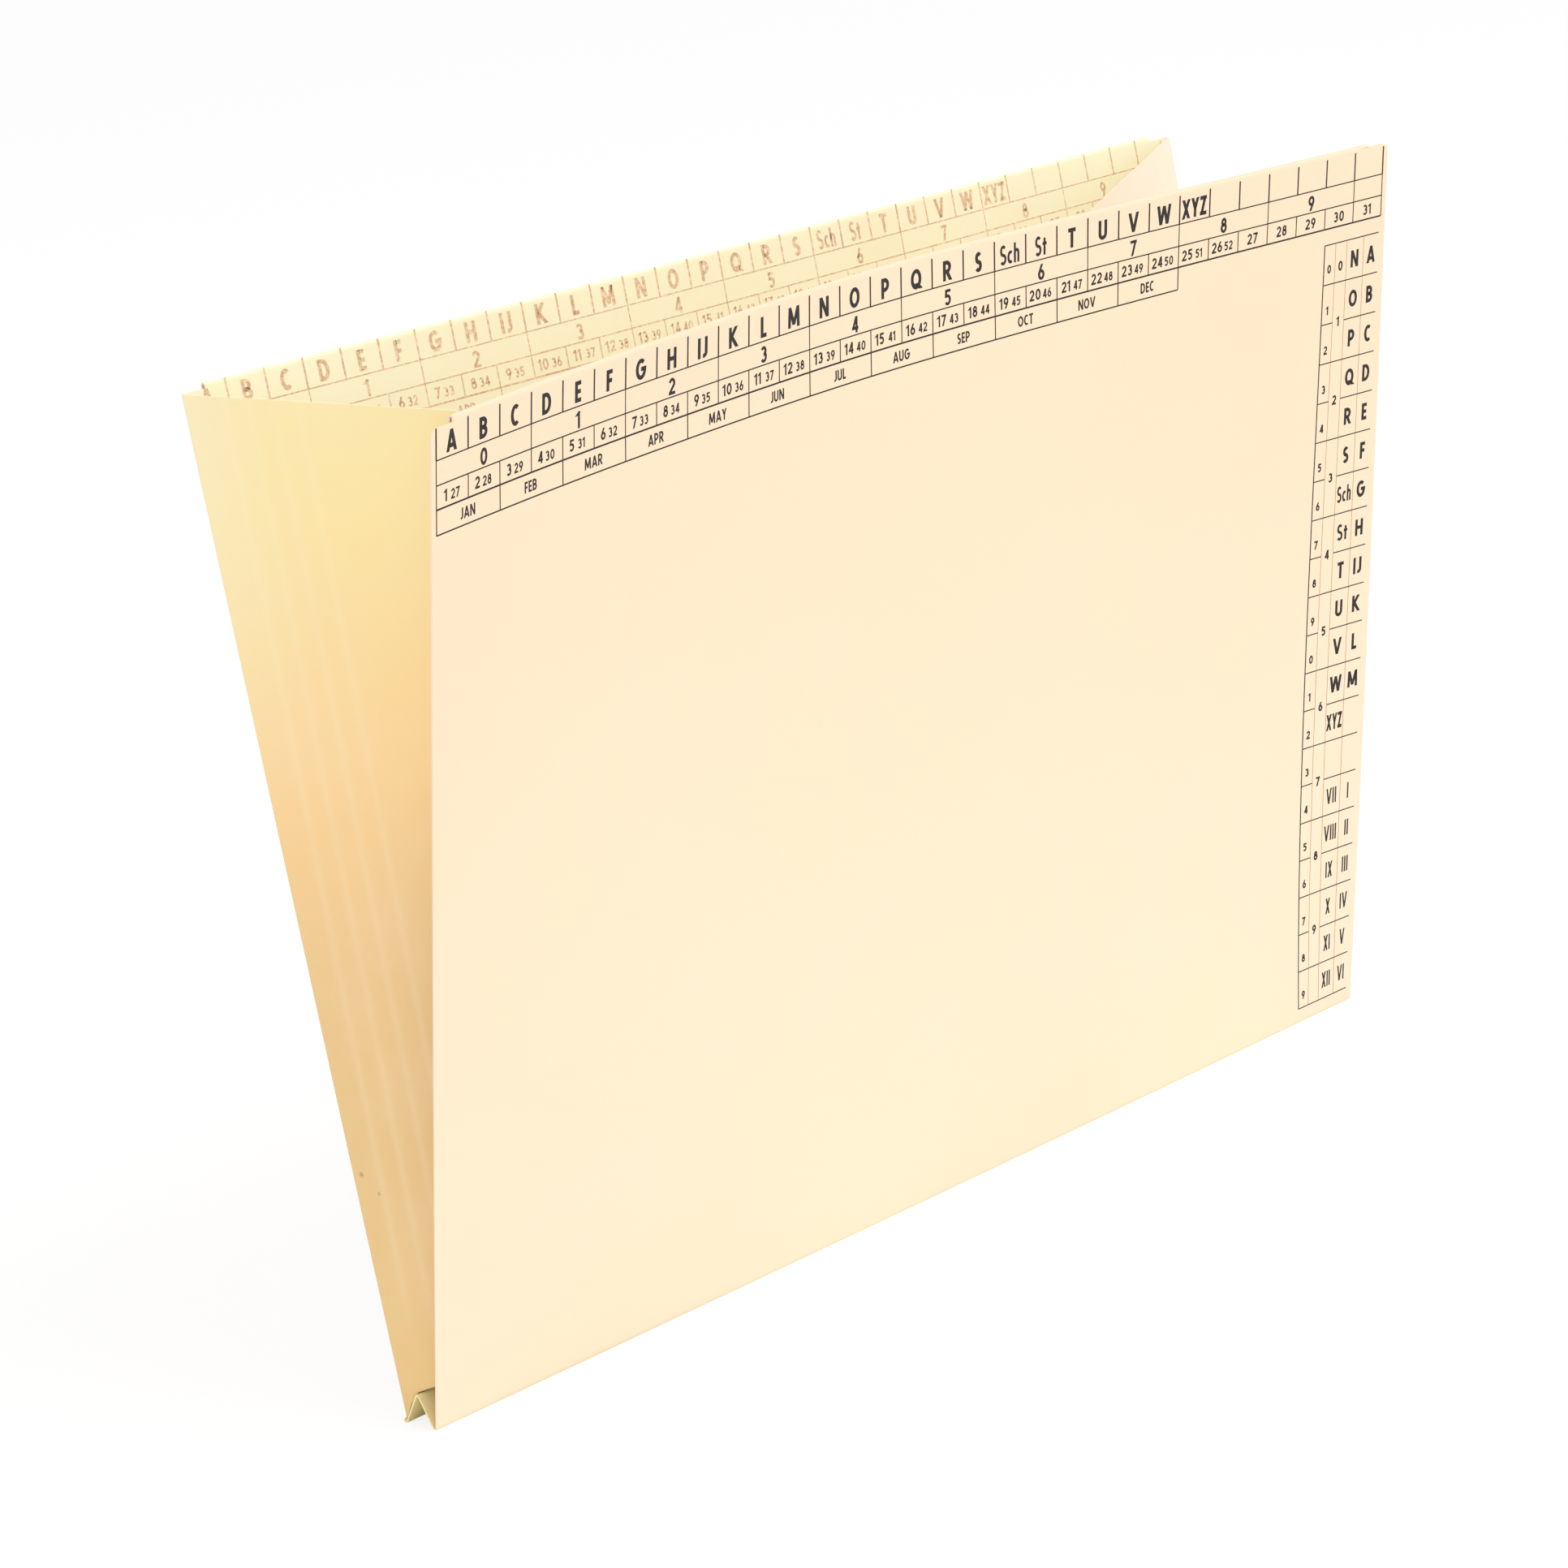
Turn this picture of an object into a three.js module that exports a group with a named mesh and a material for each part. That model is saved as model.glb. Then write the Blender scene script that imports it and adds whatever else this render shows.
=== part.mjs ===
// Organizer folder for landscape A4 sheets: one die-cut sheet of manila card, folded.
// It stands open as a narrow V on the W-shaped pleat along its foot.
// Millimetres. X runs right along the folder, Y from the front panel to the back one, Z up.
import * as THREE from 'three';

// Sheet
const cardThickness = 0.4;
const sheetWidth = 313;
const frontHeight = 217.4;
const backRise = 1.6;
const backHeight = frontHeight + backRise;
const backLeftInset = 0.7;
const backRightReach = 2.1;

// Standing pose: how far each panel leans from upright
const frontLean = THREE.MathUtils.degToRad(9.5);
const backLean = THREE.MathUtils.degToRad(8);

// Pleat along the foot: two folds on the table, one ridge between them
const pleatSpread = 8.7;
const pleatHeight = 7;
const ridgeShift = -0.15;
const pleatFoldRadius = 0.5;

// Hem along each top edge: the card is folded over to the rear, short of the corners
const hemDepth = 10;
const hemFoldRadius = 0.5;
const hemInset = 6.8;
const shoulderDrop = 1.3;
const creasedShoulderDrop = 0.55;
const cornerCut = 1.8;
const cornerCutDrop = 0.9;

// Bow of the two panels, in millimetres: one value for each count of half waves along X
const bowSpan = 310;
const frontTopBow = [-10.7, -0.8, 0.4, -0.15, -0.12, -0.09];
const frontMiddleBow = [-0.3, 1.1, -0.3, 1.5];
const frontLowerBow = [0.6, 0.8, 0.3, 0.6];
const frontTwist = -4.1;
const backTopBow = [5.2, 0.5];
const backTwist = 1.3;
const footBow = 0.6;
const backSkew = 1.8;
const backTaper = 2.15;

// Side flaps, hinged on the back panel: the left one spans the V, the right one is folded in
const flapFoldRadius = 0.6;
const leftFlapTurn = THREE.MathUtils.degToRad(96);
const rightFlapTurn = THREE.MathUtils.degToRad(158.5);
const flapTopSlope = Math.tan(THREE.MathUtils.degToRad(8.6));
const flapTopGap = 0.1;
const flapClearance = 0.4;
const flapTipLift = 0.4;
const flapTipRows = [1.2, 3, 5, 7.5];
const flapTipOutline = [[0.2, 1.5], [1.9, 4], [4.4, 6.7]];

// How finely the curved surfaces are divided
const panelColumns = 18;
const panelRows = 9;
const hemFoldSteps = 4;
const pleatFoldSteps = 5;
const flapFoldSteps = 4;
const flapColumns = 4;

const halfCard = cardThickness / 2;
const halfWidth = sheetWidth / 2;
const frontUp = new THREE.Vector3(0, -Math.sin(frontLean), Math.cos(frontLean));
const frontOut = new THREE.Vector3(0, -Math.cos(frontLean), -Math.sin(frontLean));
const backUp = new THREE.Vector3(0, Math.sin(backLean), Math.cos(backLean));
const backIn = new THREE.Vector3(0, -Math.cos(backLean), Math.sin(backLean));

// A row of half waves added up at a place along the span, 0 at the left end and 1 at the right
function waves(sizes, place) {
  let sum = 0;
  sizes.forEach((size, i) => {
    sum += size * Math.sin((i + 1) * Math.PI * place);
  });
  return sum;
}

function placeOf(x) {
  return x / bowSpan + 0.5;
}

// Distance by which the front panel stands proud of its flat plane, towards the outside
function frontBow(x, rise) {
  const place = placeOf(x);
  const middle = 4 * rise * (1 - rise);
  const lower = 10 * rise * (1 - rise) * (1 - 2 * rise);
  const swell = waves(frontTopBow, place) * rise + waves(frontMiddleBow, place) * middle;
  return swell + waves(frontLowerBow, place) * lower + frontTwist * place * rise;
}

// The same for the back panel, towards the inside
function backBow(x, rise) {
  return (waves(backTopBow, placeOf(x)) + backTwist * placeOf(x)) * rise;
}

// A bowed sheet keeps its length, so its ends draw in a little
function drawnIn(x, bow) {
  const place = placeOf(x);
  const slope = bow * Math.PI / bowSpan;
  return x - slope * slope / 4 * (place * bowSpan + bowSpan / (2 * Math.PI) * Math.sin(2 * Math.PI * place));
}

function footShift(x, rise) {
  return new THREE.Vector3(0, -footBow * Math.sin(Math.PI * placeOf(x)) * (1 - rise), 0);
}

// Centres of the three rounded folds of the pleat, seen along X as [y, z]
const foldRise = halfCard + pleatFoldRadius;
const frontFold = [-pleatSpread / 2, foldRise];
const backFold = [pleatSpread / 2, foldRise];
const ridgeFold = [ridgeShift, pleatHeight - foldRise];

function onFold(centre, direction, side) {
  const y = centre[0] + side * pleatFoldRadius * Math.sin(direction);
  const z = centre[1] - side * pleatFoldRadius * Math.cos(direction);
  return [y, z];
}

// The straight leg between two folds that turn opposite ways
function legDirection(from, to, side) {
  const dy = to[0] - from[0];
  const dz = to[1] - from[1];
  return Math.atan2(dz, dy) + side * Math.asin(2 * pleatFoldRadius / Math.hypot(dy, dz));
}

const downFront = -Math.PI / 2 + frontLean;
const upFrontLeg = legDirection(frontFold, ridgeFold, 1);
const downBackLeg = legDirection(ridgeFold, backFold, -1);
const upBack = Math.PI / 2 - backLean;
const frontFoot = onFold(frontFold, downFront, 1);
const backFoot = onFold(backFold, upBack, 1);

function frontPoint(x, height, offset) {
  const rise = height / frontHeight;
  const bow = frontBow(x, rise);
  const point = new THREE.Vector3(drawnIn(x, frontTopBow[0] * rise), frontFoot[0], frontFoot[1]);
  point.addScaledVector(frontUp, height - foldRise);
  point.addScaledVector(frontOut, bow + offset);
  return point.add(footShift(x, rise));
}

function backPoint(x, height, offset) {
  const rise = height / backHeight;
  const bow = backBow(x, rise);
  const across = drawnIn(x, backTopBow[0] * rise) + backSkew * rise;
  const point = new THREE.Vector3(across, backFoot[0], backFoot[1]);
  point.addScaledVector(backUp, height * (1 - backTaper / backHeight * placeOf(x) * rise) - foldRise);
  point.addScaledVector(backIn, bow + offset);
  return point.add(footShift(x, rise));
}

function pleatPoint(x, section) {
  return new THREE.Vector3(x, section[0], section[1]).add(footShift(x, 0));
}

// Cuts across the sheet: both edges, the corner cuts, the ends of the hem, then even steps
const hemEnd = halfWidth - hemInset;
const columns = [-halfWidth, -halfWidth + cornerCut];
for (let i = 0; i <= panelColumns; i += 1) {
  columns.push(-hemEnd + 2 * hemEnd * i / panelColumns);
}
columns.push(halfWidth - cornerCut, halfWidth);
const lastColumn = columns.length - 1;

// Rows of the sheet, from the loose edge of the front hem round to that of the back hem
const rows = [];

function cornerDrop(column, drop) {
  return column === 0 || column === lastColumn ? drop : 0;
}

function hemArc(pointOn, height, towards, from, to) {
  for (let i = 0; i <= hemFoldSteps; i += 1) {
    const turn = from + (to - from) * i / hemFoldSteps;
    const up = height - hemFoldRadius - halfCard + hemFoldRadius * Math.sin(turn);
    const offset = towards * hemFoldRadius * (1 - Math.cos(turn));
    rows.push({ hem: true, at: (x, column) => pointOn(x, up, offset, column) });
  }
}

rows.push({ hem: true, at: (x) => frontPoint(x, frontHeight - hemDepth, -2 * hemFoldRadius) });
hemArc(frontPoint, frontHeight, -1, Math.PI, 0);
for (let i = panelRows; i >= 0; i -= 1) {
  const top = i === panelRows;
  const height = foldRise + (frontHeight - shoulderDrop - foldRise) * i / panelRows;
  const at = (x, column) => {
    const creased = top && column >= lastColumn - 2 ? shoulderDrop - creasedShoulderDrop : 0;
    return frontPoint(x, height + creased - (top ? cornerDrop(column, cornerCutDrop) : 0), 0);
  };
  rows.push({ at });
}

function pleatArc(centre, from, to, side, skipFirst) {
  for (let i = skipFirst ? 1 : 0; i <= pleatFoldSteps; i += 1) {
    const section = onFold(centre, from + (to - from) * i / pleatFoldSteps, side);
    rows.push({ at: (x) => pleatPoint(x, section) });
  }
}

pleatArc(frontFold, downFront, upFrontLeg, 1, true);
pleatArc(ridgeFold, upFrontLeg, downBackLeg, -1, false);
pleatArc(backFold, downBackLeg, upBack, 1, false);

// The back panel's edges turn into the flaps, so its rows stop short by the fold's radius
const flapTop = backHeight - shoulderDrop - flapTopGap;
const tipTop = flapTipRows[flapTipRows.length - 1];
const backRows = [...flapTipRows];
for (let i = 1; i <= panelRows; i += 1) {
  backRows.push(tipTop + (flapTop - tipTop) * i / panelRows);
}
backRows.push(backHeight - shoulderDrop);
const firstFlapRow = rows.length;
const lastFlapRow = firstFlapRow + backRows.length - 2;

const hingeLeft = -halfWidth + backLeftInset + flapFoldRadius;
const hingeRight = halfWidth + backRightReach - flapFoldRadius;

function backColumn(x, column) {
  const across = column >= lastColumn - 2 ? x + backRightReach : x;
  return Math.max(hingeLeft, Math.min(hingeRight, across));
}

function backPanelPoint(x, height, offset, column) {
  return backPoint(backColumn(x, column), height, offset);
}

backRows.forEach((height) => {
  rows.push({ at: (x, column) => backPanelPoint(x, height, 0, column) });
});
hemArc(backPanelPoint, backHeight, -1, 0, Math.PI);
const hemFoot = backHeight - hemDepth;
rows.push({ hem: true, at: (x, column) => backPanelPoint(x, hemFoot, -2 * hemFoldRadius, column) });

// Middle surface of the card as points and triangles
const middlePoints = [];
const middleTriangles = [];

function addPoint(point) {
  middlePoints.push(point);
  return middlePoints.length - 1;
}

function addCell(a, b, c, d) {
  middleTriangles.push([a, b, c], [a, c, d]);
}

const grid = rows.map((row) => columns.map((x, column) => {
  const corner = column < 2 || column > lastColumn - 2;
  return row.hem && corner ? -1 : addPoint(row.at(x, column));
}));
for (let j = 0; j < rows.length - 1; j += 1) {
  for (let i = 0; i < lastColumn; i += 1) {
    const cell = [grid[j][i], grid[j + 1][i], grid[j + 1][i + 1], grid[j][i + 1]];
    if (!cell.includes(-1)) {
      addCell(...cell);
    }
  }
}

// Reach of a flap at a height: up to the rear of the front panel, clear of its hem
const hemStack = 2 * hemFoldRadius + halfCard;

function flapReach(height) {
  const fold = backPoint(hingeLeft, height, 0);
  const frontPlane = new THREE.Vector3(0, frontFoot[0], frontFoot[1]);
  const gap = -fold.sub(frontPlane).dot(frontOut) - flapFoldRadius * Math.cos(frontLean + backLean);
  const bulge = Math.max(0, -frontBow(-halfWidth + 10, height / frontHeight));
  const closing = Math.sin(leftFlapTurn) * Math.cos(frontLean + backLean);
  return (gap - hemStack - flapClearance - bulge) / closing;
}

// Outline of a flap's loose side, one place for each of its rows: reach and height
const looseSide = backRows.slice(0, -1).map((height, i) => {
  if (i < flapTipOutline.length) {
    return flapTipOutline[i];
  }
  const share = (height - tipTop) / (flapTop - tipTop);
  let reach = 0;
  let looseHeight = height;
  for (let pass = 0; pass < 6; pass += 1) {
    reach = flapReach(looseHeight);
    looseHeight = height + flapTipLift * (1 - share) - flapTopSlope * reach * share;
  }
  return [reach, looseHeight];
});

function addFlap(side, turn) {
  const edge = side < 0 ? 0 : lastColumn;
  const x = side < 0 ? hingeLeft : hingeRight;
  const sideways = new THREE.Vector3(side, 0, 0);
  const along = sideways.clone().multiplyScalar(Math.cos(turn)).addScaledVector(backIn, Math.sin(turn));
  const lines = [];
  for (let j = firstFlapRow; j <= lastFlapRow; j += 1) {
    const height = backRows[j - firstFlapRow];
    const [reach, looseHeight] = looseSide[j - firstFlapRow];
    const line = [grid[j][edge]];
    for (let i = 1; i <= flapFoldSteps; i += 1) {
      const bend = turn * i / flapFoldSteps;
      const point = backPoint(x, height, 0);
      point.addScaledVector(sideways, flapFoldRadius * Math.sin(bend));
      point.addScaledVector(backIn, flapFoldRadius * (1 - Math.cos(bend)));
      line.push(addPoint(point));
    }
    for (let i = 1; i <= flapColumns; i += 1) {
      const share = i / flapColumns;
      const point = backPoint(x, height + (looseHeight - height) * share, 0);
      point.addScaledVector(sideways, flapFoldRadius * Math.sin(turn));
      point.addScaledVector(backIn, flapFoldRadius * (1 - Math.cos(turn)));
      point.addScaledVector(along, reach * share);
      line.push(addPoint(point));
    }
    lines.push(line);
  }
  for (let j = 0; j < lines.length - 1; j += 1) {
    for (let i = 0; i < lines[j].length - 1; i += 1) {
      const cell = [lines[j][i + 1], lines[j + 1][i + 1], lines[j + 1][i], lines[j][i]];
      addCell(...(side < 0 ? cell : cell.reverse()));
    }
  }
}

addFlap(-1, leftFlapTurn);
addFlap(1, rightFlapTurn);

// Give the middle surface its thickness: half the card to each side, then close its edges
function thicken(points, triangles) {
  const normals = points.map(() => new THREE.Vector3());
  const edges = new Map();
  triangles.forEach(([a, b, c]) => {
    const ab = points[b].clone().sub(points[a]);
    const ac = points[c].clone().sub(points[a]);
    const face = ab.cross(ac).normalize();
    [[a, b, c], [b, c, a], [c, a, b]].forEach(([p, q, r]) => {
      const angle = points[q].clone().sub(points[p]).angleTo(points[r].clone().sub(points[p]));
      normals[p].addScaledVector(face, angle);
      edges.set(`${p} ${q}`, [p, q]);
    });
  });
  const count = points.length;
  const positions = [];
  [halfCard, -halfCard].forEach((offset) => {
    points.forEach((point, i) => {
      const moved = point.clone().addScaledVector(normals[i].clone().normalize(), offset);
      positions.push(moved.x, moved.y, moved.z);
    });
  });
  const index = [];
  triangles.forEach(([a, b, c]) => {
    index.push(a, b, c, count + a, count + c, count + b);
  });
  edges.forEach(([p, q]) => {
    if (!edges.has(`${q} ${p}`)) {
      index.push(q, p, count + p, q, count + p, count + q);
    }
  });
  const geometry = new THREE.BufferGeometry();
  geometry.setAttribute('position', new THREE.Float32BufferAttribute(positions, 3));
  geometry.setIndex(index);
  return geometry;
}

// The foot rests on z = 0 and the folder's box is centred on X and Y
const folderGeometry = thicken(middlePoints, middleTriangles);
folderGeometry.computeBoundingBox();
const box = folderGeometry.boundingBox;
folderGeometry.translate(-(box.min.x + box.max.x) / 2, -(box.min.y + box.max.y) / 2, -box.min.z);
folderGeometry.computeVertexNormals();

const card = new THREE.MeshStandardMaterial({ color: 0xf6e2ad, roughness: 0.85, metalness: 0 });
const folder = new THREE.Mesh(folderGeometry, card);
folder.name = 'folder';

const part = new THREE.Group();
part.name = 'organizer_folder';
part.add(folder);

export default part;
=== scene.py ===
# Organizer folder of manila card, standing open on its pleated foot.
import bpy
import numpy as np
from mathutils import Matrix


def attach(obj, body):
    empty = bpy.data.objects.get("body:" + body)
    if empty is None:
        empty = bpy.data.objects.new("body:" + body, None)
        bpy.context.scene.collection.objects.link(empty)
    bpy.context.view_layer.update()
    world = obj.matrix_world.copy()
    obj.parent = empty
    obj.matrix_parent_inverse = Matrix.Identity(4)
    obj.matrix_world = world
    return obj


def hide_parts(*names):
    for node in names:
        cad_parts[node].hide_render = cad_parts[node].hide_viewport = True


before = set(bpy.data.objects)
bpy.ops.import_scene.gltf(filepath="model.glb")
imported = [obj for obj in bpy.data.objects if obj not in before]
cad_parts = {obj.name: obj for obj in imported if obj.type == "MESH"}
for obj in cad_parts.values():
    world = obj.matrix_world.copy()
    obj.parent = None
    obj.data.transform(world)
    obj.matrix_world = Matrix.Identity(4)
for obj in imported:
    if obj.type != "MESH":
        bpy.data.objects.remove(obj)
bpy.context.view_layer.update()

# The card sheet.
# One die-cut sheet of cream manila card. It is creased into a W-shaped foot,
# hemmed along both top edges, and its two side flaps hang on the back panel.
# Sizes are in millimetres.
card_thickness = 0.4
sheet_width = 313
front_height = 217.4
back_height = 219
back_left_inset = 0.7
back_right_reach = 2.1
front_lean = np.radians(9.5)
back_lean = np.radians(8)
pleat_spread = 8.7
pleat_height = 7
ridge_shift = -0.15
pleat_fold_radius = 0.5
hem_depth = 10
hem_fold_radius = 0.5
hem_inset = 6.8
shoulder_drop = 1.3
creased_shoulder_drop = 0.55
corner_cut = 1.8
corner_cut_drop = 0.9
bow_span = 310
front_top_bow = [-10.7, -0.8, 0.4, -0.15, -0.12, -0.09]
front_middle_bow = [-0.3, 1.1, -0.3, 1.5]
front_lower_bow = [0.6, 0.8, 0.3, 0.6]
front_twist = -4.1
back_top_bow = [5.2, 0.5]
back_twist = 1.3
foot_bow = 0.6
back_skew = 1.8
back_taper = 2.15
flap_fold_radius = 0.6
left_flap_turn = np.radians(96)
right_flap_turn = np.radians(158.5)
flap_top_slope = np.tan(np.radians(8.6))
flap_top_gap = 0.1
flap_clearance = 0.4
flap_tip_lift = 0.4
flap_tip_rows = [1.2, 3, 5, 7.5]
flap_tip_outline = [(0.2, 1.5), (1.9, 4), (4.4, 6.7)]

# Moves the sheet so that its box is centred on the origin and stands on the table top
centring = np.array([-1.9185, 2.3458, -0.0008])

# How finely the sheet is divided
panel_steps = 104
panel_rows = 60
fold_steps = 8
flap_steps = 110
close_shares = [0.012, 0.004, 0]

half_card = card_thickness / 2
half_width = sheet_width / 2
fold_rise = half_card + pleat_fold_radius
front_up = np.array([0, -np.sin(front_lean), np.cos(front_lean)])
front_out = np.array([0, -np.cos(front_lean), -np.sin(front_lean)])
back_up = np.array([0, np.sin(back_lean), np.cos(back_lean)])
back_in = np.array([0, -np.cos(back_lean), np.sin(back_lean)])


def waves(sizes, place):
    return sum(size * np.sin((i + 1) * np.pi * place) for i, size in enumerate(sizes))


def place_of(x):
    return x / bow_span + 0.5


def drawn_in(x, bow):
    slope = bow * np.pi / bow_span
    place = place_of(x)
    return x - slope ** 2 / 4 * (place * bow_span + bow_span / (2 * np.pi) * np.sin(2 * np.pi * place))


def front_bow(x, rise):
    place = place_of(x)
    swell = waves(front_top_bow, place) * rise + waves(front_middle_bow, place) * 4 * rise * (1 - rise)
    lower = waves(front_lower_bow, place) * 10 * rise * (1 - rise) * (1 - 2 * rise)
    return swell + lower + front_twist * place * rise


def back_bow(x, rise):
    return (waves(back_top_bow, place_of(x)) + back_twist * place_of(x)) * rise


def on_fold(centre, direction, side):
    return (centre[0] + side * pleat_fold_radius * np.sin(direction),
            centre[1] - side * pleat_fold_radius * np.cos(direction))


def leg_direction(start, end, side):
    dy, dz = end[0] - start[0], end[1] - start[1]
    return np.arctan2(dz, dy) + side * np.arcsin(2 * pleat_fold_radius / np.hypot(dy, dz))


front_fold = (-pleat_spread / 2, fold_rise)
back_fold = (pleat_spread / 2, fold_rise)
ridge_fold = (ridge_shift, pleat_height - fold_rise)
down_front = -np.pi / 2 + front_lean
up_front_leg = leg_direction(front_fold, ridge_fold, 1)
down_back_leg = leg_direction(ridge_fold, back_fold, -1)
up_back = np.pi / 2 - back_lean
front_foot = on_fold(front_fold, down_front, 1)
back_foot = on_fold(back_fold, up_back, 1)


def on_panel(x, height, offset, foot, up, out, bow, across, rise, length):
    x, height = np.broadcast_arrays(np.asarray(x, float), np.asarray(height, float))
    shift = -foot_bow * np.sin(np.pi * place_of(x)) * (1 - rise)
    point = np.stack([across, foot[0] + shift, np.full(x.shape, foot[1])], axis=-1)
    return point + (length - fold_rise)[..., None] * up + (bow + offset)[..., None] * out + centring


def front_point(x, height, offset=0):
    x, height = np.broadcast_arrays(np.asarray(x, float), np.asarray(height, float))
    rise = height / front_height
    return on_panel(x, height, offset, front_foot, front_up, front_out, front_bow(x, rise),
                    drawn_in(x, front_top_bow[0] * rise), rise, height)


def back_point(x, height, offset=0):
    x, height = np.broadcast_arrays(np.asarray(x, float), np.asarray(height, float))
    rise = height / back_height
    return on_panel(x, height, offset, back_foot, back_up, back_in, back_bow(x, rise),
                    drawn_in(x, back_top_bow[0] * rise) + back_skew * rise, rise,
                    height * (1 - back_taper / back_height * place_of(x) * rise))


def pleat_point(x, section):
    shift = -foot_bow * np.sin(np.pi * place_of(x))
    return np.stack([x, section[0] + shift, np.full(x.shape, section[1])], axis=-1) + centring


hem_end = half_width - hem_inset
columns = np.concatenate([[-half_width, -half_width + corner_cut],
                          np.linspace(-hem_end, hem_end, panel_steps + 1),
                          [half_width - corner_cut, half_width]])
last = len(columns) - 1
at_edge = np.zeros(last + 1)
at_edge[[0, last]] = 1
hinge_left = -half_width + back_left_inset + flap_fold_radius
hinge_right = half_width + back_right_reach - flap_fold_radius
back_columns = columns.copy()
back_columns[last - 2:] += back_right_reach
back_columns = np.clip(back_columns, hinge_left, hinge_right)

# Rows from the loose edge of the front hem, round the foot, to that of the back hem:
# each is its points, what stretch of the sheet it is on, its height as if the hems
# stood up flat, and if it is hem
sheet_rows = []


def add_row(points, stretch, height, hem=False):
    sheet_rows.append((points, stretch, height, hem))


def add_hem_arc(point_on, x, height, start, end, stretch):
    for turn in np.linspace(start, end, fold_steps + 1):
        up = height - hem_fold_radius - half_card + hem_fold_radius * np.sin(turn)
        inward = -hem_fold_radius * (1 - np.cos(turn))
        add_row(point_on(x, np.full(x.shape, up), inward), stretch, height + hem_fold_radius * turn, True)


add_row(front_point(columns, np.full(columns.shape, front_height - hem_depth), -2 * hem_fold_radius),
        0, front_height + hem_depth, True)
add_hem_arc(front_point, columns, front_height, np.pi, 0, 0)
front_shoulder = front_height - shoulder_drop
# Rows close above the front fold keep the fold's soft shading off the flat panel
for share in [*np.linspace(1, 0, panel_rows + 1)[:-1], *close_shares]:
    height = np.full(columns.shape, fold_rise + (front_shoulder - fold_rise) * share)
    if share == 1:
        height[last - 2:] += shoulder_drop - creased_shoulder_drop
        height -= at_edge * corner_cut_drop
    add_row(front_point(columns, height), 0, height)

for centre, start, end, side, stretch in ((front_fold, down_front, up_front_leg, 1, 1),
                                          (ridge_fold, up_front_leg, down_back_leg, -1, 1),
                                          (back_fold, down_back_leg, up_back, 1, 1)):
    for direction in np.linspace(start, end, fold_steps + 1)[1 if centre is front_fold else 0:]:
        add_row(pleat_point(columns, on_fold(centre, direction, side)), stretch, 0)

flap_top = back_height - shoulder_drop - flap_top_gap
back_rows = flap_tip_rows + list(np.linspace(flap_tip_rows[-1], flap_top, panel_rows + 1)[1:])
first_flap_row = len(sheet_rows)
for height in back_rows + [back_height - shoulder_drop]:
    add_row(back_point(back_columns, np.full(columns.shape, height)), 2, height)
add_hem_arc(back_point, back_columns, back_height, 0, np.pi, 2)
add_row(back_point(back_columns, np.full(columns.shape, back_height - hem_depth), -2 * hem_fold_radius),
        2, back_height + hem_depth, True)

points, places, cells = [], [], []


def add_point(point, across, up, stretch):
    points.append(point)
    places.append((across, up, stretch))
    return len(points) - 1


grid = []
for row, stretch, height, hem in sheet_rows:
    heights = np.broadcast_to(height, columns.shape)
    grid.append([-1 if hem and (i < 2 or i > last - 2) else add_point(row[i], columns[i], heights[i], stretch)
                 for i in range(last + 1)])
for upper, lower in zip(grid, grid[1:]):
    for i in range(last):
        cell = (upper[i], lower[i], lower[i + 1], upper[i + 1])
        if -1 not in cell:
            cells.append(cell)

# The two side flaps. Four pressed score lines run beside each flap's fold.
score_starts = (6.0, 12.6, 19.2, 26.0)
score_spread = 0.0218
score_depth = 0.055
score_width = 0.75


def flap_reach(height):
    fold = back_point(hinge_left, height) - centring
    gap = -(fold - np.array([0, *front_foot])) @ front_out - flap_fold_radius * np.cos(front_lean + back_lean)
    bulge = max(0, -front_bow(-half_width + 10, height / front_height))
    closing = np.sin(left_flap_turn) * np.cos(front_lean + back_lean)
    return (gap - 2 * hem_fold_radius - half_card - flap_clearance - bulge) / closing


def loose_edge(i, height):
    if i < len(flap_tip_outline):
        return flap_tip_outline[i]
    share = (height - flap_tip_rows[-1]) / (flap_top - flap_tip_rows[-1])
    loose = height
    for _ in range(6):
        reach = flap_reach(loose)
        loose = height + flap_tip_lift * (1 - share) - flap_top_slope * reach * share
    return reach, loose


def add_flap(side, turn, stretch):
    edge = 0 if side < 0 else last
    x = hinge_left if side < 0 else hinge_right
    sideways = np.array([side, 0, 0])
    along = sideways * np.cos(turn) + back_in * np.sin(turn)
    proud = sideways * np.sin(turn) - back_in * np.cos(turn)
    lines = []
    for i, height in enumerate(back_rows):
        reach, loose = loose_edge(i, height)
        line = [grid[first_flap_row + i][edge]]
        for bend in np.linspace(0, turn, fold_steps + 1)[1:]:
            turned = sideways * np.sin(bend) + back_in * (1 - np.cos(bend))
            line.append(add_point(back_point(x, height) + flap_fold_radius * turned, 0, height, stretch))
        for share in np.linspace(0, 1, flap_steps + 1)[1:]:
            up = height + (loose - height) * share
            turned = sideways * np.sin(turn) + back_in * (1 - np.cos(turn))
            bead = sum(np.exp(-((reach * share - start - score_spread * up) / score_width) ** 2)
                       for start in score_starts) * score_depth * min(1, up / 30)
            point = back_point(x, up) + flap_fold_radius * turned + along * reach * share + proud * bead
            line.append(add_point(point, reach * share, up, stretch))
        lines.append(line)
    for upper, lower in zip(lines, lines[1:]):
        for i in range(len(upper) - 1):
            cell = (upper[i + 1], lower[i + 1], lower[i], upper[i])
            cells.append(cell if side < 0 else cell[::-1])


add_flap(-1, left_flap_turn, 3)
add_flap(1, right_flap_turn, 4)
points, places, cells = np.array(points), np.array(places), np.array(cells)

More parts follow.
